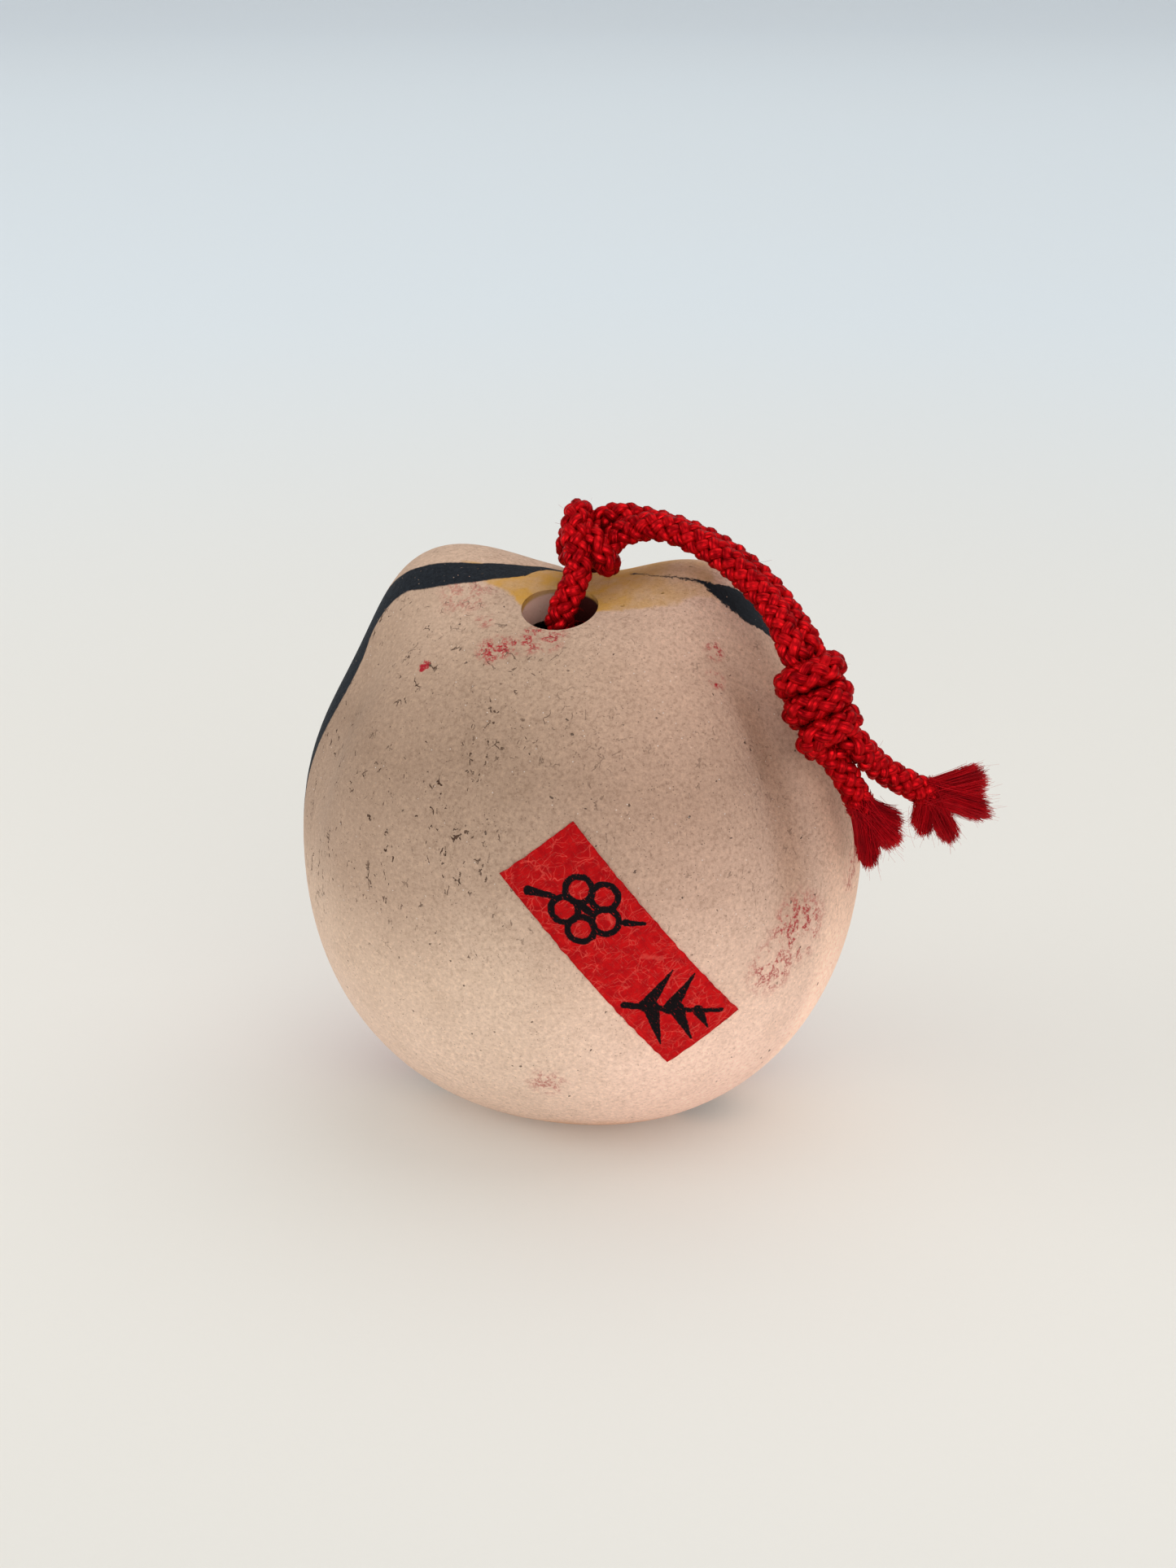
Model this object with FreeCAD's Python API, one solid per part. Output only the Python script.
import FreeCAD, Part
import math
import os

# Small daruma-shaped clay bell, seen from behind in use, hung by one braided cord.
# Millimetres, +Z up. The face looks along -Y, the plain back along +Y.
# The body is two press-moulded clay halves luted together on the plane y = 0.

V = FreeCAD.Vector

# ---- body -----------------------------------------------------------------------
HALF_WIDTH = 32.6          # half width across X
HALF_BACK = 28.0           # from the seam plane to the back
HALF_FRONT = 27.5           # from the seam plane to the face, without the nose
CROWN = 29.2               # height of the top above the body's centre
BELLY = 35.0               # depth of the underside below the centre before the foot is cut
CENTRE_Z = 33.8            # height of the body's centre above the foot
FULLNESS = 2.2             # superellipse exponent: 2 is an ellipsoid, more is boxier
WALL = 4.0                 # clay thickness

# Two soft ears on the shoulders: side, height, elevation, spread (degrees), depth offset
EARS = [(1, 6.6, 59.5, 17.5, -0.054), (-1, 5.6, 65.0, 15.5, -0.054)]

# A shallow groove runs down each side behind the seam, as if a cowl were pulled back.
GROOVE_DEPTH = 2.4
GROOVE_AZIMUTH = 63.5      # degrees from +Y at elevation 20
GROOVE_LEAN = 0.12         # change of azimuth per degree of elevation
GROOVE_WIDTH = 8.0
GROOVE_MID = 24.0
GROOVE_LENGTH = 24.0

# Face in low relief: azimuth from -Y, elevation, height, half spread across and up
RELIEF = [
    (0.0, 9.0, -1.30, 28.0, 24.0),
    (0.0, 6.0, 2.40, 8.5, 10.0),
    (14.0, 22.0, 1.20, 10.5, 6.0),
    (-14.0, 22.0, 1.20, 10.5, 6.0),
    (19.0, -3.0, 0.90, 9.5, 9.5),
    (-19.0, -3.0, 0.90, 9.5, 9.5),
]

ROUND_POLES = 60           # control points round the front-to-back axis
LENGTH_SPANS = 40          # spans from the middle of the face to the middle of the back

# ---- openings -------------------------------------------------------------------
HOLE_RADIUS = 4.3          # the two cord holes beside the crown
HOLE_X = 0.5
HOLE_Y = 7.6
HOLE_Z = 62.5
HOLE_TILT = 16.0           # degrees, each hole leans outward
SLOT_WIDTH = 5.0           # sound slot across the underside
SLOT_LENGTH = 30.0
SLOT_END_RADIUS = 4.0
SLOT_TOP = 8.0

# ---- loose pellet and label -----------------------------------------------------
PELLET_RADIUS = 6.0
PELLET_Z = 9.2
LABEL_CENTRE = V(-11.5, 25.8, 29.9)
LABEL_LENGTH = 29.2
LABEL_WIDTH = 9.9
LABEL_THICK = 0.25
LABEL_ALONG = V(-16.9, -6.4, -22.6)    # direction of the label's long side
LABEL_OUT = V(-0.34, 0.90, -0.02)      # outward at the middle of the label

# ---- cord -----------------------------------------------------------------------
CORD_D = 3.5
HINGE = V(-1.8, 2.0, 69.0)             # centre of the upper knot
KNOT_RADIUS = 4.1
KNOT_HALF_LENGTH = 3.7
KNOT_ROUNDING = 1.6

# One cord: out of the knot, down the back hole, under the clay bridge, up the front hole.
LOOP = [
    V(-1.5, 4.2, 66.9),
    V(-0.6, 7.8, 63.2),
    V(0.0, 5.8, 58.0),
    V(0.2, 0.0, 56.6),
    V(0.0, -6.2, 57.4),
    V(-0.9, -8.2, 65.0),
    V(-1.9, -0.8, 67.0),
]
# The two halves of the cord run side by side from the upper knot to the lower knot.
STRAND_A = [
    V(-5.4, 2.3, 72.6),
    V(-10.5, 3.0, 74.4),
    V(-18.8, 5.0, 71.5),
    V(-25.2, 7.2, 65.9),
    V(-28.4, 9.4, 60.8),
    V(-29.9, 10.6, 58.6),
]
STRAND_B = [
    V(-6.75, 2.3, 69.15),
    V(-10.3, 3.0, 70.4),
    V(-16.6, 5.0, 68.2),
    V(-22.3, 7.2, 63.4),
    V(-25.3, 9.7, 58.6),
    V(-26.5, 10.5, 56.8),
]
LOWER_KNOT = V(-29.6, 11.4, 54.9)
LOWER_KNOT_AXIS = V(-0.45, 0.05, -0.89)
LOWER_KNOT_HALF = 5.6
LOWER_KNOT_RADIUS = 4.5
TAIL_SHORT = [
    V(-30.0, 11.2, 49.9),
    V(-32.6, 9.9, 45.0),
    V(-34.2, 9.7, 41.2),
]
TAIL_LONG = [
    V(-32.8, 9.3, 51.9),
    V(-36.9, 5.0, 46.2),
    V(-41.3, 2.4, 42.6),
]
FRAY_SHORT_TIP = V(-36.4, 9.3, 34.8)
FRAY_SHORT_RADIUS = 3.2
FRAY_LONG_TIP = V(-48.2, -0.4, 39.4)
FRAY_LONG_RADIUS = 4.6
FRAY_ROOT_RADIUS = 1.9


def direction(azimuth, elevation):
    """Unit vector at an azimuth about Z from +Y towards +X, and an elevation, in degrees."""
    a = math.radians(azimuth)
    e = math.radians(elevation)
    return V(math.sin(a) * math.cos(e), math.cos(a) * math.cos(e), math.sin(e))


def egg_radius(u):
    """Distance from the body's centre to the plain egg along the unit vector u."""
    depth = HALF_BACK if u.y > 0 else HALF_FRONT
    height = CROWN if u.z > 0 else BELLY
    total = abs(u.x / HALF_WIDTH) ** FULLNESS
    total += abs(u.y / depth) ** FULLNESS
    total += abs(u.z / height) ** FULLNESS
    return total ** (-1.0 / FULLNESS)


def ear_height(u):
    """Height added by the two ears along u."""
    total = 0.0
    for side, height, elevation, spread, offset in EARS:
        e = math.radians(elevation)
        axis = V(side * math.cos(e), offset, math.sin(e)).normalize()
        angle = math.degrees(math.acos(max(-1.0, min(1.0, axis.dot(u)))))
        total += height * math.exp(-((angle / spread) ** 2))
    return total


def groove_depth(u):
    """Depth taken away by the two side grooves along u."""
    elevation = math.degrees(math.asin(max(-1.0, min(1.0, u.z))))
    path = GROOVE_AZIMUTH + GROOVE_LEAN * (elevation - 20.0)
    along = math.exp(-(((elevation - GROOVE_MID) / GROOVE_LENGTH) ** 2))
    total = 0.0
    for side in (-1, 1):
        azimuth = math.degrees(math.atan2(side * u.x, u.y))
        across = (azimuth - path) * math.cos(math.radians(elevation))
        total += GROOVE_DEPTH * along * math.exp(-((across / GROOVE_WIDTH) ** 2))
    return total


def face_relief(u):
    """Height added by the nose, brows and cheeks, and taken away by the face hollow."""
    if u.y >= 0:
        return 0.0
    azimuth = math.degrees(math.atan2(u.x, -u.y))
    elevation = math.degrees(math.asin(max(-1.0, min(1.0, u.z))))
    total = 0.0
    for a, e, height, wide, tall in RELIEF:
        across = (azimuth - a) / wide
        up = (elevation - e) / tall
        total += height * math.exp(-(across ** 2 + up ** 2))
    return total


def body_radius(u):
    """Distance from the body's centre to its outer surface along the unit vector u."""
    return egg_radius(u) + ear_height(u) - groove_depth(u) + face_relief(u)


def body_point(alpha, beta, inset):
    """Surface point: beta runs from the face (-90) to the back (90), alpha round the Y axis."""
    a = math.radians(alpha)
    b = math.radians(beta)
    u = V(math.cos(b) * math.cos(a), math.sin(b), math.cos(b) * math.sin(a))
    if math.cos(b) < 1e-9:
        u = V(0, math.copysign(1.0, beta), 0)
    return u * (body_radius(u) - inset) + V(0, 0, CENTRE_Z)


def row_positions(spans):
    """Greville positions of a clamped cubic with the given number of spans."""
    inner = [float(k) for k in range(1, spans)]
    return [0.0, 1.0 / 3.0] + inner + [spans - 1.0 / 3.0, float(spans)]


def body_solid(inset):
    """Closed smooth solid of the body, inset from the outer surface."""
    betas = [-90.0 + 180.0 * g / LENGTH_SPANS for g in row_positions(LENGTH_SPANS)]
    alphas = [360.0 * i / ROUND_POLES for i in range(ROUND_POLES)]
    face_pole = body_point(0.0, -90.0, inset)
    back_pole = body_point(0.0, 90.0, inset)
    poles = []
    for alpha in alphas:
        row = [body_point(alpha, beta, inset) for beta in betas]
        row[0] = face_pole
        row[1] = V(row[1].x, face_pole.y, row[1].z)
        row[-2] = V(row[-2].x, back_pole.y, row[-2].z)
        row[-1] = back_pole
        poles.append(row)
    round_knots = [float(k) for k in range(ROUND_POLES + 1)]
    round_mults = [1] * (ROUND_POLES + 1)
    length_knots = [float(k) for k in range(LENGTH_SPANS + 1)]
    length_mults = [4] + [1] * (LENGTH_SPANS - 1) + [4]
    surface = Part.BSplineSurface()
    surface.buildFromPolesMultsKnots(
        poles, round_mults, length_mults, round_knots, length_knots, True, False, 3, 3
    )
    solid = Part.Solid(Part.Shell([surface.toShape()]))
    if solid.Volume < 0:
        solid.reverse()
    return solid


def stadium(length, width, end_radius, low, high):
    """Slot cutter along X with a round hole at each end."""
    slab = Part.makeBox(length, width, high - low, V(-length / 2, -width / 2, low))
    for side in (-1, 1):
        centre = V(side * length / 2, 0, low)
        slab = slab.fuse(Part.makeCylinder(end_radius, high - low, centre))
    return slab


def cord_hole(side):
    """Cutter for the cord hole on the back (side 1) or the front (side -1)."""
    tilt = math.radians(HOLE_TILT)
    out = V(0, side * math.sin(tilt), math.cos(tilt))
    mouth = V(HOLE_X, side * HOLE_Y, HOLE_Z)
    return Part.makeCylinder(HOLE_RADIUS, 16.0, mouth - out * 10.0, out)


def shells():
    """The rear and front clay shells, and the full outer body they are cut from."""
    outer = body_solid(0.0)
    hollow = outer.cut(body_solid(WALL))
    room = Part.makeBox(120, 120, 120, V(-60, -60, 0))
    hollow = hollow.common(room)
    hollow = hollow.cut(stadium(SLOT_LENGTH, SLOT_WIDTH, SLOT_END_RADIUS, -1.0, SLOT_TOP))
    hollow = hollow.cut(cord_hole(1)).cut(cord_hole(-1))
    rear = hollow.common(Part.makeBox(120, 60, 120, V(-60, 0, -1)))
    front = hollow.common(Part.makeBox(120, 60, 120, V(-60, -60, -1)))
    return rear, front, outer


def label(outer):
    """Paper slip pasted on the back: it follows the curve of the clay."""
    out = V(LABEL_OUT).normalize()
    along = V(LABEL_ALONG)
    along = (along - out * along.dot(out)).normalize()
    across = out.cross(along)
    corner = LABEL_CENTRE - along * (LABEL_LENGTH / 2) - across * (LABEL_WIDTH / 2) - out * 9.0
    corners = [corner, corner + along * LABEL_LENGTH]
    corners.append(corners[1] + across * LABEL_WIDTH)
    corners.append(corner + across * LABEL_WIDTH)
    prism = Part.Face(Part.makePolygon(corners + [corner])).extrude(out * 14.0)
    skin = body_solid(-LABEL_THICK).common(prism)
    return skin.cut(outer)


def round_route(points):
    """Wire of straight runs joined by tangent arcs, and its length."""
    edges = []
    start = points[0]
    for before, corner, after in zip(points, points[1:], points[2:]):
        back = before - corner
        ahead = after - corner
        reach = 0.45 * min(back.Length, ahead.Length)
        back = back.normalize()
        ahead = ahead.normalize()
        half_turn = (math.pi - back.getAngle(ahead)) / 2
        radius = reach / math.tan(half_turn)
        first = corner + back * reach
        last = corner + ahead * reach
        middle_way = (back + ahead).normalize()
        middle = corner + middle_way * (radius / math.cos(half_turn) - radius)
        edges.append(Part.LineSegment(start, first).toShape())
        edges.append(Part.Arc(first, middle, last).toShape())
        print("  arc radius %.2f mm" % radius)
        start = last
    edges.append(Part.LineSegment(start, points[-1]).toShape())
    wire = Part.Wire(edges)
    return wire


def cord(points):
    """Round tube of the cord's thickness along a route."""
    wire = round_route(points)
    section = Part.Circle(points[0], points[1] - points[0], CORD_D / 2).toShape()
    tube = wire.makePipeShell([Part.Wire(section)], True, True)
    expected = math.pi * CORD_D ** 2 / 4 * wire.Length
    print("  length %.1f mm, volume %.1f of %.1f" % (wire.Length, tube.Volume, expected))
    return tube


def upper_knot():
    """Overhand knot where both halves of the cord meet: a round-edged barrel along Y."""
    start = HINGE - V(0, KNOT_HALF_LENGTH, 0)
    barrel = Part.makeCylinder(KNOT_RADIUS, 2 * KNOT_HALF_LENGTH, start, V(0, 1, 0))
    rims = [e for e in barrel.Edges if isinstance(e.Curve, Part.Circle)]
    return barrel.makeFillet(KNOT_ROUNDING, rims)


def lower_knot():
    """Overhand knot near the ends of the cord: an egg along the cord."""
    ball = Part.makeSphere(1.0)
    stretch = FreeCAD.Matrix()
    stretch.scale(LOWER_KNOT_RADIUS, LOWER_KNOT_RADIUS, LOWER_KNOT_HALF)
    egg = ball.transformGeometry(stretch)
    egg.Placement = FreeCAD.Placement(
        LOWER_KNOT, FreeCAD.Rotation(V(0, 0, 1), LOWER_KNOT_AXIS)
    )
    return egg


def fray(root, tip, tip_radius):
    """Spread tuft at a cut end, as a flared cone."""
    way = tip - root
    return Part.makeCone(FRAY_ROOT_RADIUS, tip_radius, way.Length, root, way)


def main():
    os.makedirs("parts", exist_ok=True)
    rear, front, outer = shells()
    nodes = {"rear_shell": rear, "front_shell": front}
    nodes["paper_label"] = label(outer)
    nodes["rattle_ball"] = Part.makeSphere(PELLET_RADIUS, V(0, 0, PELLET_Z))
    nodes["upper_knot"] = upper_knot()
    nodes["lower_knot"] = lower_knot()
    routes = {
        "cord_loop": LOOP,
        "strand_a": STRAND_A,
        "strand_b": STRAND_B,
        "tail_short": TAIL_SHORT,
        "tail_long": TAIL_LONG,
    }
    for name, points in routes.items():
        print(name)
        nodes[name] = cord(points)
    nodes["frayed_end_short"] = fray(TAIL_SHORT[-1], FRAY_SHORT_TIP, FRAY_SHORT_RADIUS)
    nodes["frayed_end_long"] = fray(TAIL_LONG[-1], FRAY_LONG_TIP, FRAY_LONG_RADIUS)
    for name, shape in nodes.items():
        box = shape.BoundBox
        shape.exportStep("parts/%s.step" % name)
        print(
            "%-18s valid %s solids %d volume %8.1f  x %.2f %.2f  y %.2f %.2f  z %.2f %.2f"
            % (
                name, shape.isValid(), len(shape.Solids), shape.Volume,
                box.XMin, box.XMax, box.YMin, box.YMax, box.ZMin, box.ZMax,
            )
        )


main()
